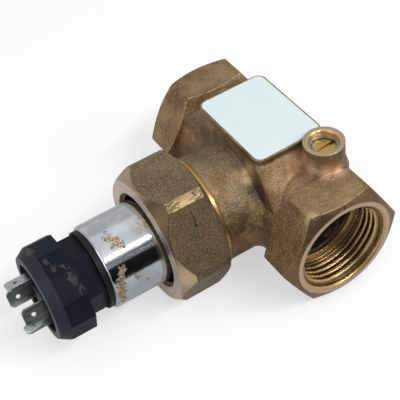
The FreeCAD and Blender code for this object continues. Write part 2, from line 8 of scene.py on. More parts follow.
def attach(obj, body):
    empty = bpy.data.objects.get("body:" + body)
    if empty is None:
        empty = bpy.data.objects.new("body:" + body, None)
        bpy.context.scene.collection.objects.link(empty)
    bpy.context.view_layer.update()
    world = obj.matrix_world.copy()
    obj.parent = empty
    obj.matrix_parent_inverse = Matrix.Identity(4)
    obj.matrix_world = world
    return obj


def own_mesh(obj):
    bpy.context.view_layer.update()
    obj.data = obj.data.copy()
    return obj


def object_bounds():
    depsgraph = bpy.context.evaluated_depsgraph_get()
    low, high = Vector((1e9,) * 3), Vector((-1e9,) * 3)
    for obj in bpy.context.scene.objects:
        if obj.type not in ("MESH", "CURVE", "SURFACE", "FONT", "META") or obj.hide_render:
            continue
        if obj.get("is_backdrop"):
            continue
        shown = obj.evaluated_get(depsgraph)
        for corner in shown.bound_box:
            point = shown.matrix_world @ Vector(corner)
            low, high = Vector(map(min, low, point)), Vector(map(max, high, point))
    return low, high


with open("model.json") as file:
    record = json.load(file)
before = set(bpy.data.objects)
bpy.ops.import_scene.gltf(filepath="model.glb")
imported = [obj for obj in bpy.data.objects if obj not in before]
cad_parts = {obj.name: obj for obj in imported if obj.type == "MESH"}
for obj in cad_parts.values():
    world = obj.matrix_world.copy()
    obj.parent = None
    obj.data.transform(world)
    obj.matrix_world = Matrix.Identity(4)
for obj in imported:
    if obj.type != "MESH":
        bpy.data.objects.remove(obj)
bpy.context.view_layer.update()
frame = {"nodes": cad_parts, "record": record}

# Looks of the flow switch. The frame is in metres: the flow runs along +X from the inlet face at
# the origin, the branch points along -Y and the plate faces +Z. Shader masks work in millimetres.

mm = 0.001

# Places and sizes of the CAD frame, in millimetres
inlet_length = 46.3
outlet_length = 44.5
branch_x = inlet_length
port_span = inlet_length + outlet_length
port_face_radius = 18.9
port_mouth_radius = 17.3
port_thread_depth = 13.5
port_chamfer_angle = 30.0
port_chamfer_slope = math.tan(math.radians(port_chamfer_angle))
flow_bore_radius = 13.2
collar_start = 29.3
boss_x = branch_x + 22.8
boss_y = 8.15
boss_top = 28.5
boss_radius = 7.1
boss_mouth_radius = 5.6
boss_bore_bottom = 19.4
nut_front = 51.6
nut_lip = 6.0
nut_face_radius = 22.8
nut_hole_radius = 16.95
nut_turned_radius = 25.7
nut_chamfer_angle = 55.0
nut_slope = math.tan(math.radians(nut_chamfer_angle))
header_facet_end = 89.6
header_face = 93.6
header_shade_start = 80.0
header_shade_full = 82.0

# Pipe thread, 11 turns to the inch, in millimetres. The two shares are of half a turn.
thread_pitch = 2.309
thread_root = 16.6
thread_crest = 15.15
thread_mouth = 0.9
thread_length = 12.6
thread_rise = 1.2
thread_fade = 2.5
thread_sunk = 0.03
thread_shade_start = 7.0
thread_shade_full = 13.0
thread_flat_share = 0.17
thread_flank_share = 0.66
thread_sides = 120
thread_rows_per_turn = 12

# Camera, as fitted to the photograph
view_azimuth = math.radians(63.43)
view_elevation = math.radians(45.61)
view_roll = math.radians(-8.32)
view_distance = 364.48 * mm
view_sideways = -22.49 * mm
view_up = -8.07 * mm
focal_pixels = 1010.5
centre_pixel_x = 206.32
centre_pixel_y = 197.15
image_pixels = 400.0
sensor_width = 36.0
nearest_seen = 10 * mm

# Studio in metres, with the levels and mirror shares of its light
room_light = 0.42
room_mirror_share = 0.52
floor_half = 1.5
floor_glow = 0.55
floor_mirror_share = 0.3
horizon_glow = 0.22
card_away = 0.62
card_near = 0.17
card_left = -0.5
card_right = 0.20
card_lift = 0.002
card_height = 0.66

# Studio places for the shaders, in millimetres: where the floor brightens, and the card's strips
horizon_start = 200.0
horizon_end = 900.0
card_strips = ((345.0, 365.0), (425.0, 450.0))
card_strip_blur = 2.0

# Lamps: directions in degrees, sizes in metres, power in watts
lamp_target = (branch_x * mm, -30 * mm, 0)
lamps = (
    dict(name="key", azimuth=21, elevation=53, distance=0.9, width=0.60, height=0.04, power=3.0),
    dict(name="fill", azimuth=-80, elevation=25, distance=0.8, width=0.50, height=0.50, power=1.3),
    dict(name="overhead", azimuth=60, elevation=78, distance=0.62, width=0.90, height=0.90, power=0.8),
    dict(name="glint", azimuth=42, elevation=34, distance=0.55, width=0.14, height=0.14, power=0.4),
)

# Marks, painted highlights and painted shade: x, y and z from where the branch meets the flow axis, then a
# radius, in millimetres. The seam and the painted lit top also have a height.
stain_spots = ((-17.0, -15.0, 16.0, 8.0), (-10.0, -15.0, 19.0, 6.0), (16.0, -15.0, 16.0, 7.0),
               (20.5, -22.0, 3.0, 5.0))
boss_highlight_spots = ((20.5, 1.0, 23.0, 5.5), (24.5, 1.2, 22.0, 4.5), (28.8, 4.0, 21.3, 4.5), (30.4, 8.0, 20.3, 4.0))
blush_spots = ((20.0, -24.0, 1.0, 9.0), (20.0, 0.0, 21.0, 9.0), (-31.0, -16.0, 8.0, 12.0))
rust_spots = ((19.8, -24.5, 1.6, 3.0), (21.0, -21.5, 1.8, 2.6))
seam_spots = ((20.0, -24.8, 4.0, 3.6), (22.4, -20.6, 4.2, 3.6))
seam_height = 4.1
painted_lit_top_spot = (34.0, -2.0, 20.5, 17.0)
painted_lit_top_height = 20.3
tarnish_spots = ((36.0, -18.0, 9.0, 14.0), (36.0, -18.0, -6.0, 16.0))
weathered_spots = ((-3.0, -22.0, 18.0, 13.0), (4.0, -17.0, 19.5, 9.0), (13.0, -20.5, 14.5, 8.0),
                   (16.0, -23.0, 10.0, 9.0))
ridge_highlight_spots = ((10.8, -14.2, 20.5, 4.0), (9.8, -14.6, 18.0, 3.2), (11.6, -15.6, 16.4, 3.0),
                (42.0, -11.2, 19.6, 3.5))
blot_spot = (17.6, -15.5, 14.2, 6.0)
pip_spot = (31.9, 4.8, 20.5, 0.9)
lump_spot = (20.2, -22.0, 2.5, 2.4)
nut_rubbed_spot = (11.0, -40.0, 23.5, 12.0)
nut_shaded_spot = (20.0, -38.0, 12.0, 24.0)
nut_cone_shade_spot = (14.0, -50.0, 19.0, 17.0)
nut_glare_spot = (13.4, -nut_front, 13.4, 4.5)
nut_cone_highlight_spot = (24.5, -48.9, 2.0, 8.0)
crack_spot = (16.6, -40.1, 17.4, 4.2)
tube_tint_spot = (5.6, -53.2, 14.4, 7.0)
tube_flakes = (
    (4.2, -66.2, 14.9, 2.2), (6.6, -64.6, 14.1, 3.2), (8.2, -63.2, 13.1, 2.4), (13.5, -67.4, 7.5, 2.2),
    (14.4, -68.6, 5.4, 2.4), (15.0, -69.4, 3.0, 2.8), (15.3, -69.8, 0.6, 2.8), (15.2, -69.9, -1.8, 2.8),
    (14.9, -69.9, -4.0, 2.4), (2.0, -65.1, 15.3, 1.1), (15.0, -63.1, 3.8, 1.4), (15.4, -60.1, 0.4, 1.1),
    (12.8, -66.4, 8.6, 1.4),
)
header_scuffs = (
    (-6.0, -90.2, 16.2, 2.6), (-4.0, -89.6, 16.9, 1.6), (2.6, -87.9, 17.1, 2.0), (5.6, -86.7, 16.2, 2.0),
    (6.9, -83.9, 15.8, 2.0), (10.2, -83.0, 13.9, 2.2), (11.5, -82.3, 12.6, 2.4), (14.0, -82.0, 10.1, 2.6),
)

# Flakes: the sizes in millimetres and the shares of the two noises that bend their outlines, how
# far a noise strays from its middle, and the shares of the radius where a flake starts and is full
flake_noises = ((2.2, 1.0), (0.6, 0.45))
noise_reach = 0.25
flake_start_share = 0.62
flake_full_share = 0.50

# Edges: how well a surface matches its rounded direction where it is open and where it is sharp
open_match = 0.995
sharp_match = 0.93
shader_samples = 6

# Colours of the cast body, as linear light
cast_tan = (0.34, 0.235, 0.122)
cast_dark = (0.18, 0.107, 0.048)
cast_stain_and_shade = (0.085, 0.054, 0.028)
cast_soot = (0.045, 0.04, 0.03)
cast_painted_highlight = (1.0, 0.72, 0.52)
cast_blush = (0.36, 0.175, 0.09)
cast_rust = (0.44, 0.21, 0.08)
cast_seam = (0.04, 0.034, 0.026)
cast_painted_lit_top = (0.52, 0.35, 0.19)
cast_tarnish = (0.175, 0.088, 0.042)
cast_weathered = (0.17, 0.15, 0.10)
cast_ridge_highlight = (0.80, 0.60, 0.36)
cast_blot = (0.05, 0.046, 0.038)
cast_grain_light = (0.60, 0.45, 0.27)
cast_grain_dark = (0.09, 0.055, 0.03)
cast_worn = (0.62, 0.46, 0.27)
machined_pink = (0.66, 0.48, 0.32)
machined_pink_dark = (0.50, 0.35, 0.22)
machined_gold = (0.62, 0.42, 0.19)
port_chamfer_brown = (0.21, 0.125, 0.07)
bore_shade_brown = (0.045, 0.027, 0.015)
bore_shade_tan = (0.13, 0.075, 0.04)
collar_gold = (0.40, 0.25, 0.09)
boss_rim_tan = (0.46, 0.36, 0.25)

# Colours of the nut
flat_brown = (0.145, 0.10, 0.055)
flat_tan = (0.22, 0.155, 0.09)
flat_grain_light = (0.46, 0.34, 0.20)
flat_grain_dark = (0.055, 0.037, 0.02)
flat_shade = (0.07, 0.048, 0.027)
crack_black = (0.02, 0.014, 0.01)
front_pink = (0.66, 0.53, 0.42)
front_pink_light = (0.84, 0.69, 0.56)
front_scratch = (0.05, 0.035, 0.025)
front_glare = (1.0, 0.95, 0.90)
cone_brown = (0.40, 0.29, 0.18)
cone_tan = (0.54, 0.41, 0.28)
cone_painted_shade = (0.055, 0.035, 0.017)
cone_painted_highlight = (0.75, 0.58, 0.36)
nut_corner_gold = (0.40, 0.30, 0.145)
nut_hole_brown = (0.13, 0.095, 0.06)

# Colours of the other pieces
nickel_dark = (0.46, 0.49, 0.51)
nickel_light = (0.58, 0.61, 0.63)
bare_brass_dark = (0.17, 0.115, 0.07)
bare_brass_light = (0.50, 0.40, 0.29)
flake_rim_brown = (0.13, 0.085, 0.05)
tube_brown_tint = (0.25, 0.17, 0.1)
brass_dark = (0.42, 0.29, 0.10)
brass_light = (0.60, 0.44, 0.18)
brass_painted_shade = (0.10, 0.08, 0.055)
thread_dark = (0.18, 0.105, 0.045)
thread_gold = (0.62, 0.42, 0.18)
thread_gold_light = (0.78, 0.56, 0.28)
thread_painted_shade = (0.12, 0.07, 0.035)
plate_blue = (0.73, 0.85, 0.85)
plate_white = (0.78, 0.90, 0.90)
plate_dirt = (0.45, 0.46, 0.44)
header_dark = (0.0025, 0.004, 0.009)
header_light = (0.007, 0.010, 0.021)
header_chamfer_grey = (0.028, 0.033, 0.045)
header_face_grey = (0.12, 0.135, 0.15)
header_scuff = (0.17, 0.145, 0.125)
header_dust = (0.16, 0.17, 0.19)
tin_dark = (0.30, 0.32, 0.32)
tin_light = (0.60, 0.63, 0.63)
tin_spot = (0.05, 0.047, 0.04)
tin_edge = (0.75, 0.77, 0.77)
glass_green = (0.55, 0.80, 0.66)
glass_pale = (0.65, 0.86, 0.74)
light_white = (1.0, 1.0, 1.0)


class Look:
    """One procedural material, with short ways to add its nodes."""

    def __init__(self, name):
        self.material = bpy.data.materials.new(name)
        self.material.use_nodes = True
        self.tree = self.material.node_tree
        self.shader = self.tree.nodes["Principled BSDF"]
        self.mm = self.vector("SCALE", self.node("ShaderNodeTexCoord").outputs["Object"], 1 / mm)
        split = self.node("ShaderNodeSeparateXYZ")
        self.join(self.mm, split.inputs[0])
        self.x, self.y, self.z = split.outputs

    def node(self, kind, **settings):
        """New node with the given settings."""
        made = self.tree.nodes.new(kind)
        for key, value in settings.items():
            setattr(made, key, value)
        return made

    def join(self, output, socket):
        """Links an output to a socket."""
        self.tree.links.new(output, socket)

    def feed(self, socket, value):
        """Links an output, or sets a plain number or colour."""
        if isinstance(value, bpy.types.NodeSocket):
            self.join(value, socket)
        else:
            socket.default_value = value

    def set(self, name, value):
        """Sets or links one input of the shader."""
        if isinstance(value, tuple):
            value = (*value, 1.0)
        self.feed(self.shader.inputs[name], value)

    def math(self, operation, first, second=0.0):
        """Number from one or two numbers."""
        made = self.node("ShaderNodeMath", operation=operation)
        self.feed(made.inputs[0], first)
        self.feed(made.inputs[1], second)
        return made.outputs[0]

    def vector(self, operation, first, second):
        """Vector from two vectors, or from a vector and the number that scales it."""
        made = self.node("ShaderNodeVectorMath", operation=operation)
        self.feed(made.inputs[0], first)
        self.feed(made.inputs["Scale" if operation == "SCALE" else 1], second)
        return made.outputs[0]

    def plus(self, first, second):
        """Sum of two numbers."""
        return self.math("ADD", first, second)

    def minus(self, first, second):
        """First number less the second."""
        return self.math("SUBTRACT", first, second)

    def scaled(self, mask, amount):
        """Mask or number times an amount."""
        return self.math("MULTIPLY", mask, amount)

    def reverse(self, mask):
        """0 where the mask is 1, and 1 where it is 0."""
        return self.minus(1.0, mask)

    def length(self, first, second):
        """Distance from an axis, worked out from the two coordinates across it."""
        squares = self.plus(self.scaled(first, first), self.scaled(second, second))
        return self.math("SQRT", squares)

    def both(self, *masks):
        """1 where all masks are."""
        found = masks[0]
        for mask in masks[1:]:
            found = self.math("MULTIPLY", found, mask)
        return found

    def either(self, *masks):
        """1 where any mask is."""
        found = masks[0]
        for mask in masks[1:]:
            found = self.math("MAXIMUM", found, mask)
        return found

    def step(self, value, low, high):
        """Runs smoothly from 0 at low to 1 at high, which may be the smaller one."""
        made = self.node("ShaderNodeMapRange", interpolation_type="SMOOTHSTEP")
        self.feed(made.inputs["Value"], value)
        made.inputs["From Min"].default_value = low
        made.inputs["From Max"].default_value = high
        return made.outputs["Result"]

    def inside(self, value, limit, blur):
        """1 below the limit, 0 from limit plus blur on."""
        return self.step(value, limit + blur, limit)

    def beyond(self, value, limit, blur):
        """1 above the limit, 0 from limit minus blur down."""
        return self.step(value, limit - blur, limit)

    def noise(self, size, detail=3.0, rough=0.55, stretch=(1, 1, 1), shift=0.0):
        """Noise whose grain is about size millimetres."""
        mapped = self.node("ShaderNodeMapping")
        self.join(self.mm, mapped.inputs["Vector"])
        mapped.inputs["Scale"].default_value = [1.0 / (size * share) for share in stretch]
        mapped.inputs["Location"].default_value = (shift, shift, shift)
        made = self.node("ShaderNodeTexNoise")
        self.join(mapped.outputs[0], made.inputs["Vector"])
        made.inputs["Scale"].default_value = 1.0
        made.inputs["Detail"].default_value = detail
        made.inputs["Roughness"].default_value = rough
        return made.outputs["Fac"]

    def turning(self, radius, size):
        """Fine turning marks about an axis: noise along the radius only."""
        made = self.node("ShaderNodeTexNoise", noise_dimensions="1D")
        self.join(radius, made.inputs["W"])
        made.inputs["Scale"].default_value = 1.0 / size
        made.inputs["Detail"].default_value = 2.0
        return made.outputs["Fac"]

    def gap(self, place, x, y, z):
        """Distance from a place to a point that is measured from where the branch meets the flow axis."""
        made = self.node("ShaderNodeVectorMath", operation="DISTANCE")
        self.join(place, made.inputs[0])
        made.inputs[1].default_value = (branch_x + x, y, z)
        return made.outputs["Value"]

    def near(self, x, y, z, radius):
        """Soft spot about a point."""
        return self.step(self.gap(self.mm, x, y, z), radius, 0.0)

    def spots(self, places):
        """Several soft spots as one mask."""
        return self.either(*[self.near(*place) for place in places])

    def bent(self, bend, shift):
        """Places in millimetres, moved by coarse and fine noise of about bend millimetres."""
        moved = self.mm
        for size, share in flake_noises:
            field = self.node("ShaderNodeTexNoise", noise_dimensions="4D")
            self.join(self.vector("SCALE", self.mm, 1.0 / size), field.inputs["Vector"])
            field.inputs["W"].default_value = shift
            field.inputs["Scale"].default_value = 1.0
            field.inputs["Detail"].default_value = 2.0
            centred = self.vector("SUBTRACT", field.outputs["Color"], (0.5, 0.5, 0.5))
            moved = self.vector("ADD", moved, self.vector("SCALE", centred, share * bend / noise_reach))
        return moved

    def flakes(self, places, bend, shift):
        """Ragged flakes: spots whose outlines noise bends by about bend millimetres."""
        moved = self.bent(bend, shift)
        return self.either(*[
            self.step(self.gap(moved, x, y, z), flake_start_share * radius, flake_full_share * radius)
            for x, y, z, radius in places
        ])

    # The mix node has sockets for each kind of value: 2 and 3 take numbers, 6 and 7 take colours.

    def mix(self, amount, first, second):
        """Colour between first and second."""
        made = self.node("ShaderNodeMix", data_type="RGBA")
        self.feed(made.inputs["Factor"], amount)
        for socket, value in ((made.inputs[6], first), (made.inputs[7], second)):
            if isinstance(value, tuple):
                value = (*value, 1.0)
            self.feed(socket, value)
        return made.outputs[2]

    def coat(self, under, mask, share, colour):
        """Colour with another laid over it where the mask is, covering at most the given share."""
        return self.mix(self.scaled(mask, share), under, colour)

    def blend(self, amount, first, second):
        """Number between first and second."""
        made = self.node("ShaderNodeMix", data_type="FLOAT")
        self.feed(made.inputs[0], amount)
        self.feed(made.inputs[2], first)
        self.feed(made.inputs[3], second)
        return made.outputs[0]

    def drift(self, size, dark, light, smooth, rough):
        """Colour and roughness that drift between two values over one noise."""
        cloud = self.noise(size)
        self.set("Base Color", self.mix(cloud, dark, light))
        self.set("Roughness", self.blend(cloud, smooth, rough))
        return cloud

    def crevice(self, reach):
        """1 in open places, lower in corners."""
        made = self.node("ShaderNodeAmbientOcclusion", samples=shader_samples)
        made.inputs["Distance"].default_value = reach * mm
        return made.outputs["AO"]

    def rounded(self, radius):
        """Surface direction as if edges were rounded, in the shading only."""
        made = self.node("ShaderNodeBevel", samples=shader_samples)
        made.inputs["Radius"].default_value = radius * mm
        return made.outputs[0]

    def edges(self, radius):
        """1 along sharp edges, 0 on open faces."""
        match = self.node("ShaderNodeVectorMath", operation="DOT_PRODUCT")
        self.join(self.rounded(radius), match.inputs[0])
        self.join(self.node("ShaderNodeNewGeometry").outputs["Normal"], match.inputs[1])
        return self.step(match.outputs["Value"], open_match, sharp_match)

    def relief(self, height, depth, rounding=0.0):
        """Bumps of the given depth in millimetres, over edges rounded in the shading."""
        made = self.node("ShaderNodeBump")
        made.inputs["Strength"].default_value = 1.0
        made.inputs["Distance"].default_value = depth * mm
        self.feed(made.inputs["Height"], height)
        if rounding:
            self.join(self.rounded(rounding), made.inputs["Normal"])
        self.join(made.outputs[0], self.shader.inputs["Normal"])


def from_flow_axis(look):
    """Distance from the axis through both ports."""
    return look.length(look.y, look.z)


def port_depth(look):
    """Distance into the nearer port."""
    return look.math("MINIMUM", look.x, look.minus(port_span, look.x))


def cast_places(look):
    """Masks of the machined places of the cast body."""
    from_flow = from_flow_axis(look)
    from_boss = look.length(look.minus(look.x, boss_x), look.minus(look.y, boss_y))
    depth = port_depth(look)
    slant = look.scaled(look.minus(from_flow, port_face_radius), port_chamfer_slope)
    face = look.inside(depth, 0.05, blur=0.07)
    chamfer = look.inside(look.minus(depth, slant), 0.2, blur=0.15)
    in_port = look.inside(from_flow, port_mouth_radius + 0.1, blur=0.2)
    before_stop = look.inside(depth, port_thread_depth + 1.5, blur=1.0)
    in_flow = look.inside(from_flow, flow_bore_radius + 1.0, blur=0.2)
    off_boss = look.beyond(from_boss, boss_mouth_radius + 0.4, blur=0.5)
    on_boss_top = look.beyond(look.z, boss_top - 0.04, blur=0.06)
    about_boss = look.inside(from_boss, boss_radius + 0.4, blur=0.5)
    in_boss = look.inside(from_boss, boss_mouth_radius + 0.05, blur=0.1)
    above_bore_floor = look.beyond(look.z, boss_bore_bottom + 0.1, blur=0.5)
    return {
        "face": face,
        "chamfer": look.both(chamfer, look.reverse(face)),
        "bore": look.both(in_port, before_stop, look.reverse(face)),
        "deep": look.both(in_flow, off_boss),
        "collar": look.inside(look.y, -collar_start - 0.5, blur=0.3),
        "boss_rim": look.both(on_boss_top, about_boss),
        "boss_wall": look.both(in_boss, above_bore_floor),
    }


def cast_skin(look, cloud, grain, corners):
    """Tarnished skin of the casting, with painted shade and painted highlights: marks laid over one another,
    from broad to fine.
    """
    patch = look.noise(4.0, detail=4.0, rough=0.65, shift=8.7)
    skin = look.mix(look.step(cloud, 0.35, 0.7), cast_dark, cast_tan)
    skin = look.coat(skin, look.step(patch, 0.55, 0.75), 0.35, cast_dark)
    # Corners that the occlusion node finds turn dark brown: partly stain, partly painted shade.
    skin = look.coat(skin, corners, 0.5, cast_stain_and_shade)
    stains = look.plus(look.scaled(look.spots(stain_spots), 0.7), patch)
    skin = look.coat(skin, look.step(stains, 0.62, 1.2), 0.55, cast_soot)
    # Painted highlight on the lit front of the boss's foot.
    skin = look.coat(skin, look.spots(boss_highlight_spots), 0.9, cast_painted_highlight)
    skin = look.coat(skin, look.spots(blush_spots), 0.5, cast_blush)
    skin = look.coat(skin, look.spots(rust_spots), 0.7, cast_rust)
    from_seam = look.math("ABSOLUTE", look.minus(look.z, seam_height))
    on_seam = look.both(look.inside(from_seam, 0.1, blur=1.4), look.step(patch, 0.30, 0.55))
    seam = look.both(look.spots(seam_spots), on_seam)
    skin = look.coat(skin, look.step(seam, 0.0, 0.7), 0.6, cast_seam)
    # Painted light: the upward top flat near the outlet port is lighter.
    painted_lit_top = look.both(look.near(*painted_lit_top_spot), look.beyond(look.z, painted_lit_top_height, blur=0.7))
    skin = look.coat(skin, look.step(painted_lit_top, 0.0, 0.5), 0.3, cast_painted_lit_top)
    skin = look.coat(skin, look.step(look.spots(tarnish_spots), 0.0, 0.5), 0.6, cast_tarnish)
    skin = look.coat(skin, look.spots(weathered_spots), 0.6, cast_weathered)
    # Painted highlights on ridges of the casting.
    skin = look.coat(skin, look.spots(ridge_highlight_spots), 0.75, cast_ridge_highlight)
    blot = look.plus(look.near(*blot_spot), look.scaled(patch, 0.8))
    skin = look.coat(skin, look.step(blot, 0.55, 0.95), 0.65, cast_blot)
    skin = look.coat(skin, look.step(grain, 0.52, 0.70), 0.5, cast_grain_light)
    skin = look.coat(skin, look.step(grain, 0.46, 0.30), 0.6, cast_grain_dark)
    open_edges = look.both(look.edges(0.8), look.step(look.crevice(1.5), 0.80, 0.95))
    return look.coat(skin, look.both(open_edges, look.step(patch, 0.40, 0.60)), 0.75, cast_worn)


def cast_body():
    """Tarnished cast bronze with machined port faces, bores, branch collar and boss."""
    look = Look("cast_bronze")
    place = cast_places(look)
    face, chamfer, deep = place["face"], place["chamfer"], place["deep"]
    grain = look.noise(0.5, rough=0.6)
    cloud = look.noise(9.0, detail=4.0, rough=0.6, shift=3.1)
    # Corners found by occlusion: mask of the painted shade in corners, and of rougher skin there.
    corners = look.step(look.crevice(5.5), 0.72, 0.35)

    turning = look.turning(from_flow_axis(look), 0.35)
    turned = look.mix(look.step(turning, 0.3, 0.7), machined_pink, machined_pink_dark)
    # Inside the passages the colour is far darker than the cast skin: painted shade in the deep recess.
    depths = look.mix(look.step(cloud, 0.45, 0.7), bore_shade_brown, bore_shade_tan)
    colour = look.mix(face, cast_skin(look, cloud, grain, corners), turned)
    colour = look.coat(colour, chamfer, 0.75, port_chamfer_brown)
    for name, shade in (("bore", machined_gold), ("deep", depths), ("collar", collar_gold),
                        ("boss_rim", boss_rim_tan), ("boss_wall", machined_gold)):
        colour = look.mix(place[name], colour, shade)
    look.set("Base Color", colour)

    smooth = look.either(face, place["bore"], place["collar"], place["boss_rim"], place["boss_wall"])
    rough = look.blend(smooth, look.blend(corners, 0.48, 0.7), 0.27)
    look.set("Roughness", look.blend(chamfer, rough, 0.4))
    look.set("Metallic", look.blend(deep, 0.85, 0.6))

    pip = look.scaled(look.near(*pip_spot), 2.2)
    lump = look.scaled(look.near(*lump_spot), 3.0)
    fine = look.both(grain, look.reverse(look.either(smooth, look.scaled(chamfer, 0.8))))
    swell = look.both(look.noise(3.2, detail=2.0, rough=0.5, shift=1.7), look.reverse(smooth))
    surface = look.plus(look.plus(fine, look.plus(pip, lump)), look.scaled(swell, 2.2))
    look.relief(surface, depth=0.27, rounding=0.7)
    return look.material


def nut_flats(look, cloud, grain):
    """Grainy pressed flats, shaded on one side, with one short crack."""
    flats = look.mix(look.step(cloud, 0.3, 0.7), flat_brown, flat_tan)
    flats = look.coat(flats, look.step(grain, 0.50, 0.66), 0.65, flat_grain_light)
    flats = look.coat(flats, look.step(grain, 0.48, 0.34), 0.70, flat_grain_dark)
    flats = look.coat(flats, look.step(look.near(*nut_shaded_spot), 0.0, 0.7), 0.45, flat_shade)
    wander = look.scaled(look.minus(look.noise(3.0, detail=2.0, shift=4.0), 0.5), 2.0)
    from_crack = look.math("ABSOLUTE", look.plus(look.minus(look.y, crack_spot[1]), wander))
    crack = look.both(look.step(look.near(*crack_spot), 0.05, 0.35), look.inside(from_crack, 0.10, blur=0.30))
    return look.coat(flats, crack, 0.9, crack_black)


def nut_cone(look, cloud):
    """Turned chamfer behind the nut's front, with painted shade on one side and a painted highlight on the
    other.
    """
    cone = look.mix(look.step(cloud, 0.35, 0.65), cone_brown, cone_tan)
    cone = look.coat(cone, look.step(look.near(*nut_cone_shade_spot), 0.0, 0.6), 0.95, cone_painted_shade)
    return look.coat(cone, look.near(*nut_cone_highlight_spot), 0.8, cone_painted_highlight)


def nut_face(look, from_branch):
    """Turned pinkish front with scratches and one glare."""
    pink = look.mix(look.step(look.turning(from_branch, 0.3), 0.3, 0.7), front_pink_light, front_pink)
    scratches = look.step(look.noise(0.9, rough=0.7, stretch=(0.35, 1, 6), shift=2.0), 0.68, 0.74)
    pink = look.coat(pink, scratches, 0.8, front_scratch)
    return look.coat(pink, look.near(*nut_glare_spot), 0.8, front_glare)


def pressed_nut():
    """Hot-pressed bronze: grainy flats, a turned pinkish front and bright corners."""
    look = Look("pressed_bronze")
    look.set("Metallic", 0.85)
    from_branch = look.length(look.minus(look.x, branch_x), look.z)
    slant = look.minus(look.y, look.scaled(look.minus(from_branch, nut_face_radius), nut_slope))
    front = look.inside(look.y, 0.05 - nut_front, blur=0.07)
    cone = look.both(look.inside(slant, 0.15 - nut_front, blur=0.15), look.reverse(front))
    in_hole = look.inside(from_branch, nut_hole_radius + 0.55, blur=0.3)
    hole = look.both(in_hole, look.inside(look.y, nut_lip - nut_front - 0.4, blur=1.0))
    ridge = look.beyond(from_branch, nut_turned_radius + 0.25, blur=0.2)
    streaks = look.noise(0.7, detail=4.0, rough=0.7, stretch=(1, 3, 1), shift=9.0)
    rubbed = look.plus(look.scaled(look.near(*nut_rubbed_spot), 0.3), streaks)
    corner = look.both(ridge, look.step(rubbed, 0.52, 0.74))
    grain = look.noise(0.48, rough=0.6)
    cloud = look.noise(8.0, detail=4.0, rough=0.6, shift=5.5)

    colour = look.mix(look.scaled(cone, 0.85), nut_flats(look, cloud, grain), nut_cone(look, cloud))
    colour = look.mix(front, colour, nut_face(look, from_branch))
    colour = look.coat(colour, corner, 0.85, nut_corner_gold)
    look.set("Base Color", look.mix(hole, colour, nut_hole_brown))
    smooth = look.either(front, look.scaled(corner, 0.8), look.scaled(cone, 0.9), hole)
    look.set("Roughness", look.blend(smooth, 0.46, 0.28))
    around = look.node("ShaderNodeTangent", direction_type="RADIAL", axis="Y")
    look.set("Tangent", around.outputs[0])
    look.set("Anisotropic", look.scaled(front, 0.8))
    look.relief(look.both(grain, look.reverse(smooth)), depth=0.35, rounding=0.35)
    return look.material


def plated_tube():
    """Polished nickel plate, worn through to the brass in a few flakes."""
    look = Look("nickel_plate")
    wear = look.flakes(tube_flakes, bend=1.3, shift=2.0)
    rim = look.both(look.flakes(tube_flakes, bend=1.3, shift=2.06), look.reverse(wear))
    film = look.step(look.noise(1.5, detail=4.0, rough=0.7), 0.30, 0.60)
    plate = look.mix(look.step(look.noise(6.0), 0.35, 0.7), nickel_dark, nickel_light)
    bare = look.mix(look.step(look.noise(0.8, detail=4.0), 0.4, 0.65), bare_brass_dark, bare_brass_light)
    worn_through = look.step(wear, 0.3, 0.5)
    colour = look.mix(worn_through, plate, bare)
    colour = look.coat(colour, rim, 0.8, flake_rim_brown)
    # Browner in noisy patches on the tube next to the nut.
    colour = look.coat(colour, look.both(look.near(*tube_tint_spot), film), 0.8, tube_brown_tint)
    look.set("Base Color", colour)
    streak = look.noise(0.5, detail=4.0, rough=0.7, stretch=(1.5, 40, 1.5))
    look.set("Roughness", look.blend(look.step(wear, 0.1, 0.4), look.blend(streak, 0.05, 0.19), 0.6))
    look.set("Metallic", look.blend(worn_through, 1.0, 0.4))
    look.relief(look.minus(look.scaled(streak, 0.25), wear), depth=0.05, rounding=0.25)
    return look.material


def turned_brass():
    """Bright turned brass, with painted shade inside the header."""
    look = Look("turned_brass")
    look.set("Metallic", 0.95)
    cloud = look.noise(1.2)
    in_header = look.step(look.y, -header_shade_start, -header_shade_full)
    look.set("Base Color", look.coat(look.mix(cloud, brass_dark, brass_light), in_header, 0.8, brass_painted_shade))
    look.set("Roughness", look.blend(cloud, 0.22, 0.38))
    look.relief(look.noise(0.4, detail=2.0), depth=0.04, rounding=0.15)
    return look.material


def thread_brass():
    """Cut thread in the ports: golden crests over darker roots, with painted shade deep inside."""
    look = Look("thread_brass")
    look.set("Metallic", 0.95)
    crest = look.step(from_flow_axis(look), thread_root - 0.3, thread_crest + 0.1)
    colour = look.mix(crest, thread_dark, look.mix(look.noise(3.0), thread_gold, thread_gold_light))
    deep = look.step(port_depth(look), thread_shade_start, thread_shade_full)
    look.set("Base Color", look.coat(colour, deep, 0.7, thread_painted_shade))
    look.set("Roughness", look.blend(look.noise(0.6, detail=2.0), 0.18, 0.34))
    look.relief(look.noise(0.35, detail=2.0), depth=0.03)
    return look.material


def white_plate():
    """Semi-gloss white sheet, slightly blue, with faint handling marks."""
    look = Look("white_plate")
    cloud = look.noise(7.0, detail=4.0)
    dirt = look.step(look.noise(1.4, detail=4.0, rough=0.7, shift=4.0), 0.66, 0.78)
    look.set("Base Color", look.coat(look.mix(cloud, plate_blue, plate_white), dirt, 0.35, plate_dirt))
    look.set("Roughness", look.blend(cloud, 0.26, 0.4))
    look.relief(look.noise(2.5, detail=2.0), depth=0.02, rounding=0.2)
    return look.material


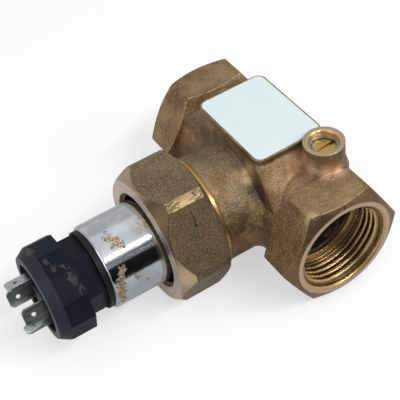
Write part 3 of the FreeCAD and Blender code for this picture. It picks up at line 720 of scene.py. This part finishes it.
def header_plastic():
    """Dark blue-black moulding with paler scuffs on its edges."""
    look = Look("header_plastic")
    look.set("Specular IOR Level", 0.12)
    chamfer = look.inside(look.y, -header_facet_end - 0.15, blur=0.2)
    face = look.inside(look.y, 0.1 - header_face, blur=0.2)
    scuffs = look.flakes(header_scuffs, bend=2.0, shift=6.0)
    dust = look.step(look.noise(0.5, detail=2.0, shift=1.0), 0.68, 0.8)
    colour = look.mix(look.noise(5.0, detail=4.0, rough=0.6), header_dark, header_light)
    colour = look.coat(colour, chamfer, 0.8, header_chamfer_grey)
    colour = look.coat(colour, face, 0.8, header_face_grey)
    colour = look.coat(colour, scuffs, 0.28, header_scuff)
    look.set("Base Color", look.coat(colour, dust, 0.12, header_dust))
    look.set("Roughness", look.blend(look.noise(1.5), 0.36, 0.52))
    look.relief(look.minus(look.noise(0.6), look.scaled(scuffs, 1.5)), depth=0.06, rounding=0.3)
    return look.material


def tinned_tab():
    """Tinned tabs, brushed along their length and lightly spotted."""
    look = Look("tinned_tab")
    look.set("Metallic", 1.0)
    grain = look.noise(0.5, rough=0.6, stretch=(1, 8, 1))
    spots = look.step(look.noise(0.7, rough=0.7, shift=6.0), 0.62, 0.72)
    colour = look.mix(look.step(grain, 0.2, 0.8), tin_dark, tin_light)
    colour = look.coat(colour, spots, 0.8, tin_spot)
    look.set("Base Color", look.coat(colour, look.edges(0.25), 0.6, tin_edge))
    look.set("Roughness", look.blend(grain, 0.20, 0.40))
    look.relief(grain, depth=0.012, rounding=0.12)
    return look.material


def spring_steel():
    """Grey drawn steel."""
    look = Look("spring_steel")
    look.set("Metallic", 1.0)
    look.drift(size=0.8, dark=(0.30, 0.30, 0.30), light=(0.50, 0.50, 0.49), smooth=0.3, rough=0.45)
    look.relief(look.noise(0.3, detail=2.0), depth=0.02)
    return look.material


def rubber():
    """Matte black rubber."""
    look = Look("rubber")
    look.set("Specular IOR Level", 0.2)
    look.drift(size=2.0, dark=(0.005, 0.005, 0.006), light=(0.012, 0.012, 0.013), smooth=0.38, rough=0.6)
    look.relief(look.noise(0.4, detail=2.0), depth=0.03)
    return look.material


def piston_plastic():
    """Off-white engineering plastic, turned."""
    look = Look("piston_plastic")
    look.drift(size=4.0, dark=(0.55, 0.51, 0.42), light=(0.66, 0.62, 0.52), smooth=0.32, rough=0.48)
    look.relief(look.noise(0.5, detail=2.0), depth=0.03, rounding=0.2)
    return look.material


def magnet_metal():
    """Dark sintered magnet."""
    look = Look("magnet_metal")
    look.set("Metallic", 0.7)
    cloud = look.drift(size=0.6, dark=(0.06, 0.06, 0.065), light=(0.13, 0.13, 0.135), smooth=0.4, rough=0.6)
    look.relief(cloud, depth=0.04)
    return look.material


def copper_wire():
    """Bare copper wire, slightly darkened."""
    look = Look("copper_wire")
    look.set("Metallic", 1.0)
    look.drift(size=1.0, dark=(0.45, 0.20, 0.10), light=(0.70, 0.36, 0.20), smooth=0.25, rough=0.4)
    return look.material


def capsule_glass():
    """Greenish glass of the reed switch."""
    look = Look("capsule_glass")
    look.set("Base Color", look.mix(look.noise(2.0, detail=2.0), glass_green, glass_pale))
    look.set("Transmission Weight", 0.8)
    look.set("Roughness", look.blend(look.noise(1.0, detail=2.0), 0.03, 0.1))
    return look.material


def potting_resin():
    """Black cast resin, slightly glossy."""
    look = Look("potting_resin")
    cloud = look.drift(size=3.0, dark=(0.012, 0.012, 0.014), light=(0.025, 0.024, 0.026),
                       smooth=0.12, rough=0.3)
    look.relief(cloud, depth=0.05)
    return look.material


def dress_nodes():
    """Gives every CAD node its material by the record's slot."""
    makers = {
        "cast_bronze": cast_body, "pressed_bronze": pressed_nut, "nickel_plate": plated_tube,
        "turned_brass": turned_brass, "white_plate": white_plate, "header_plastic": header_plastic,
        "tinned_tab": tinned_tab, "spring_steel": spring_steel, "rubber": rubber,
        "piston_plastic": piston_plastic, "magnet_metal": magnet_metal, "copper_wire": copper_wire,
        "capsule_glass": capsule_glass, "potting_resin": potting_resin,
    }
    made = {}
    for part in frame["record"]["subparts"]:
        slot = part["material_slot"]
        if slot not in made:
            made[slot] = makers[slot]()
        piece = frame["nodes"][part["node"]]
        piece.data.materials.clear()
        piece.data.materials.append(made[slot])


def squash_spring():
    """Gives the return spring its own copy of its mesh."""
    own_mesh(frame["nodes"]["return_spring"])


def thread_height(phase):
    """Share of the thread's depth at a phase of 0 to 1: straight flanks, flat crest and root."""
    wave = 1 - abs(2 * (phase % 1.0) - 1)
    return max(0.0, min(1.0, (wave - thread_flat_share) / thread_flank_share))


def thread_radius(depth, turn):
    """Inner radius of the sleeve at a depth in the port and a part of a turn, in millimetres."""
    rise = (depth - thread_mouth) / thread_rise
    fade = (thread_length + thread_mouth - depth) / thread_fade
    grown = max(0.0, min(1.0, rise, fade))
    height = thread_height(depth / thread_pitch - turn) * grown
    return thread_root - (thread_root - thread_crest) * height


def port_thread(name, face_x, inward, material):
    """Turns of a pipe thread as a closed sleeve in one port, with rising first and last turns."""
    rows = int(thread_length / thread_pitch * thread_rows_per_turn)
    depths = [thread_mouth + thread_length * row / rows for row in range(rows + 1)]
    back = [(depth, thread_root + thread_sunk) for depth in (thread_mouth + thread_length, thread_mouth)]
    shape = bmesh.new()
    grid = []
    for i in range(thread_sides):
        angle = 2 * math.pi * i / thread_sides
        outline = [(depth, thread_radius(depth, i / thread_sides)) for depth in depths] + back
        grid.append([
            shape.verts.new((face_x + inward * depth * mm, radius * mm * math.cos(angle),
                             radius * mm * math.sin(angle)))
            for depth, radius in outline
        ])
    size = len(grid[0])
    for i in range(thread_sides):
        here, after = grid[i], grid[(i + 1) % thread_sides]
        for j in range(size):
            k = (j + 1) % size
            shape.faces.new((here[j], here[k], after[k], after[j]))
    bmesh.ops.recalc_face_normals(shape, faces=shape.faces)
    mesh = bpy.data.meshes.new(name)
    shape.to_mesh(mesh)
    shape.free()
    for face in mesh.polygons:
        face.use_smooth = True
    mesh.materials.append(material)
    piece = bpy.data.objects.new(name, mesh)
    bpy.context.scene.collection.objects.link(piece)
    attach(piece, "root")


def add_lamp(name, azimuth, elevation, distance, width, height, power):
    """Rectangular lamp that looks at the part from a direction."""
    turn, lift = math.radians(azimuth), math.radians(elevation)
    offset = Vector((math.cos(turn) * math.cos(lift), math.sin(turn) * math.cos(lift), math.sin(lift)))
    data = bpy.data.lights.new(name, "AREA")
    data.shape = "RECTANGLE"
    data.size = width
    data.size_y = height
    data.energy = power
    lamp = bpy.data.objects.new(name, data)
    lamp.location = Vector(lamp_target) + offset * distance
    lamp.rotation_euler = (-offset).to_track_quat("-Z", "Y").to_euler()
    bpy.context.scene.collection.objects.link(lamp)


def shown_rays(tree, mirror_share):
    """1 for camera and glass rays, a share of it for mirror rays, 0 for the rest."""
    path = tree.nodes.new("ShaderNodeLightPath")
    mirror = tree.nodes.new("ShaderNodeMath")
    mirror.operation = "MULTIPLY"
    tree.links.new(path.outputs["Is Glossy Ray"], mirror.inputs[0])
    mirror.inputs[1].default_value = mirror_share
    found = mirror.outputs[0]
    for ray in ("Is Camera Ray", "Is Transmission Ray"):
        either = tree.nodes.new("ShaderNodeMath")
        either.operation = "MAXIMUM"
        tree.links.new(found, either.inputs[0])
        tree.links.new(path.outputs[ray], either.inputs[1])
        found = either.outputs[0]
    return found


def add_world():
    """White room as seen, dimmer as a light."""
    world = bpy.data.worlds.new("room")
    bpy.context.scene.world = world
    world.use_nodes = True
    tree = world.node_tree
    room = tree.nodes["Background"]
    brightness = tree.nodes.new("ShaderNodeMapRange")
    tree.links.new(shown_rays(tree, room_mirror_share), brightness.inputs["Value"])
    brightness.inputs["To Min"].default_value = room_light
    brightness.inputs["To Max"].default_value = 1.0
    tree.links.new(brightness.outputs["Result"], room.inputs["Strength"])
    room.inputs["Color"].default_value = (*light_white, 1.0)


def flat_sheet(name, corners, material):
    """One rectangle of the studio."""
    mesh = bpy.data.meshes.new(name)
    mesh.from_pydata(corners, [], [(0, 1, 2, 3)])
    mesh.materials.append(material)
    sheet = bpy.data.objects.new(name, mesh)
    bpy.context.scene.collection.objects.link(sheet)
    sheet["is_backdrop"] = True
    return sheet


def studio_paper(name, size, detail, dark, light):
    """Matte paper that mirrors nothing and can glow white."""
    look = Look(name)
    look.set("Base Color", look.mix(look.noise(size, detail), dark, light))
    look.set("Roughness", 0.9)
    look.set("Specular IOR Level", 0.0)
    look.set("Emission Color", light_white)
    return look


def add_floor():
    """Pale floor under the part: white as seen, with the part's shadow."""
    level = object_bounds()[0][2]
    look = studio_paper("floor_paper", size=40.0, detail=3.0,
                        dark=(0.50, 0.50, 0.50), light=(0.52, 0.52, 0.52))
    from_branch = look.length(look.minus(look.x, branch_x), look.y)
    horizon = look.step(from_branch, horizon_start, horizon_end)
    glow = look.blend(horizon, floor_glow, floor_glow + horizon_glow)
    look.set("Emission Strength", look.both(shown_rays(look.tree, floor_mirror_share), glow))
    near, far = -floor_half, floor_half
    corners = [(near, near, level), (far, near, level), (far, far, level), (near, far, level)]
    flat_sheet("floor", corners, look.material)


def add_dark_card():
    """Black card with two white strips, seen by mirrors and glass only: the dark band in bright metal."""
    look = studio_paper("dark_card", size=30.0, detail=2.0,
                        dark=(0.010, 0.010, 0.011), light=(0.014, 0.014, 0.015))
    strips = [
        look.both(look.beyond(look.z, bottom, card_strip_blur), look.inside(look.z, top, card_strip_blur))
        for bottom, top in card_strips
    ]
    look.set("Emission Strength", look.either(*strips))
    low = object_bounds()[0][2] + card_lift
    high = low + card_height
    upright = [(card_away, card_left, low), (card_away, card_right, low),
               (card_away, card_right, high), (card_away, card_left, high)]
    lying = [(card_near, card_left, low), (card_away, card_left, low),
             (card_away, card_right, low), (card_near, card_right, low)]
    for name, corners in (("dark_card", upright), ("dark_card_foot", lying)):
        card = flat_sheet(name, corners, look.material)
        card.visible_camera = False
        card.visible_diffuse = False
        card.visible_shadow = False


def add_camera():
    """Camera at the photograph's place, with its roll and shift."""
    back = Vector((math.sin(view_azimuth) * math.cos(view_elevation),
                   -math.cos(view_azimuth) * math.cos(view_elevation), math.sin(view_elevation)))
    level = Vector((math.cos(view_azimuth), math.sin(view_azimuth), 0))
    upright = back.cross(level)
    right = level * math.cos(view_roll) + upright * math.sin(view_roll)
    up = -level * math.sin(view_roll) + upright * math.cos(view_roll)
    eye = Vector((branch_x * mm, 0, 0)) + back * view_distance + right * view_sideways + up * view_up
    data = bpy.data.cameras.new("camera")
    data.sensor_width = sensor_width
    data.lens = focal_pixels / image_pixels * sensor_width
    data.shift_x = (image_pixels / 2 - centre_pixel_x) / image_pixels
    data.shift_y = (centre_pixel_y - image_pixels / 2) / image_pixels
    data.clip_start = nearest_seen
    camera = bpy.data.objects.new("camera", data)
    camera.matrix_world = Matrix.Translation(eye) @ Matrix((right, up, back)).transposed().to_4x4()
    bpy.context.scene.collection.objects.link(camera)
    bpy.context.scene.camera = camera


dress_nodes()
squash_spring()
brass_thread = thread_brass()
port_thread("thread_inlet", 0.0, 1, brass_thread)
port_thread("thread_outlet", port_span * mm, -1, brass_thread)
add_floor()
add_dark_card()
add_camera()
add_world()
for lamp in lamps:
    add_lamp(**lamp)
bpy.context.scene.view_settings.view_transform = "Standard"
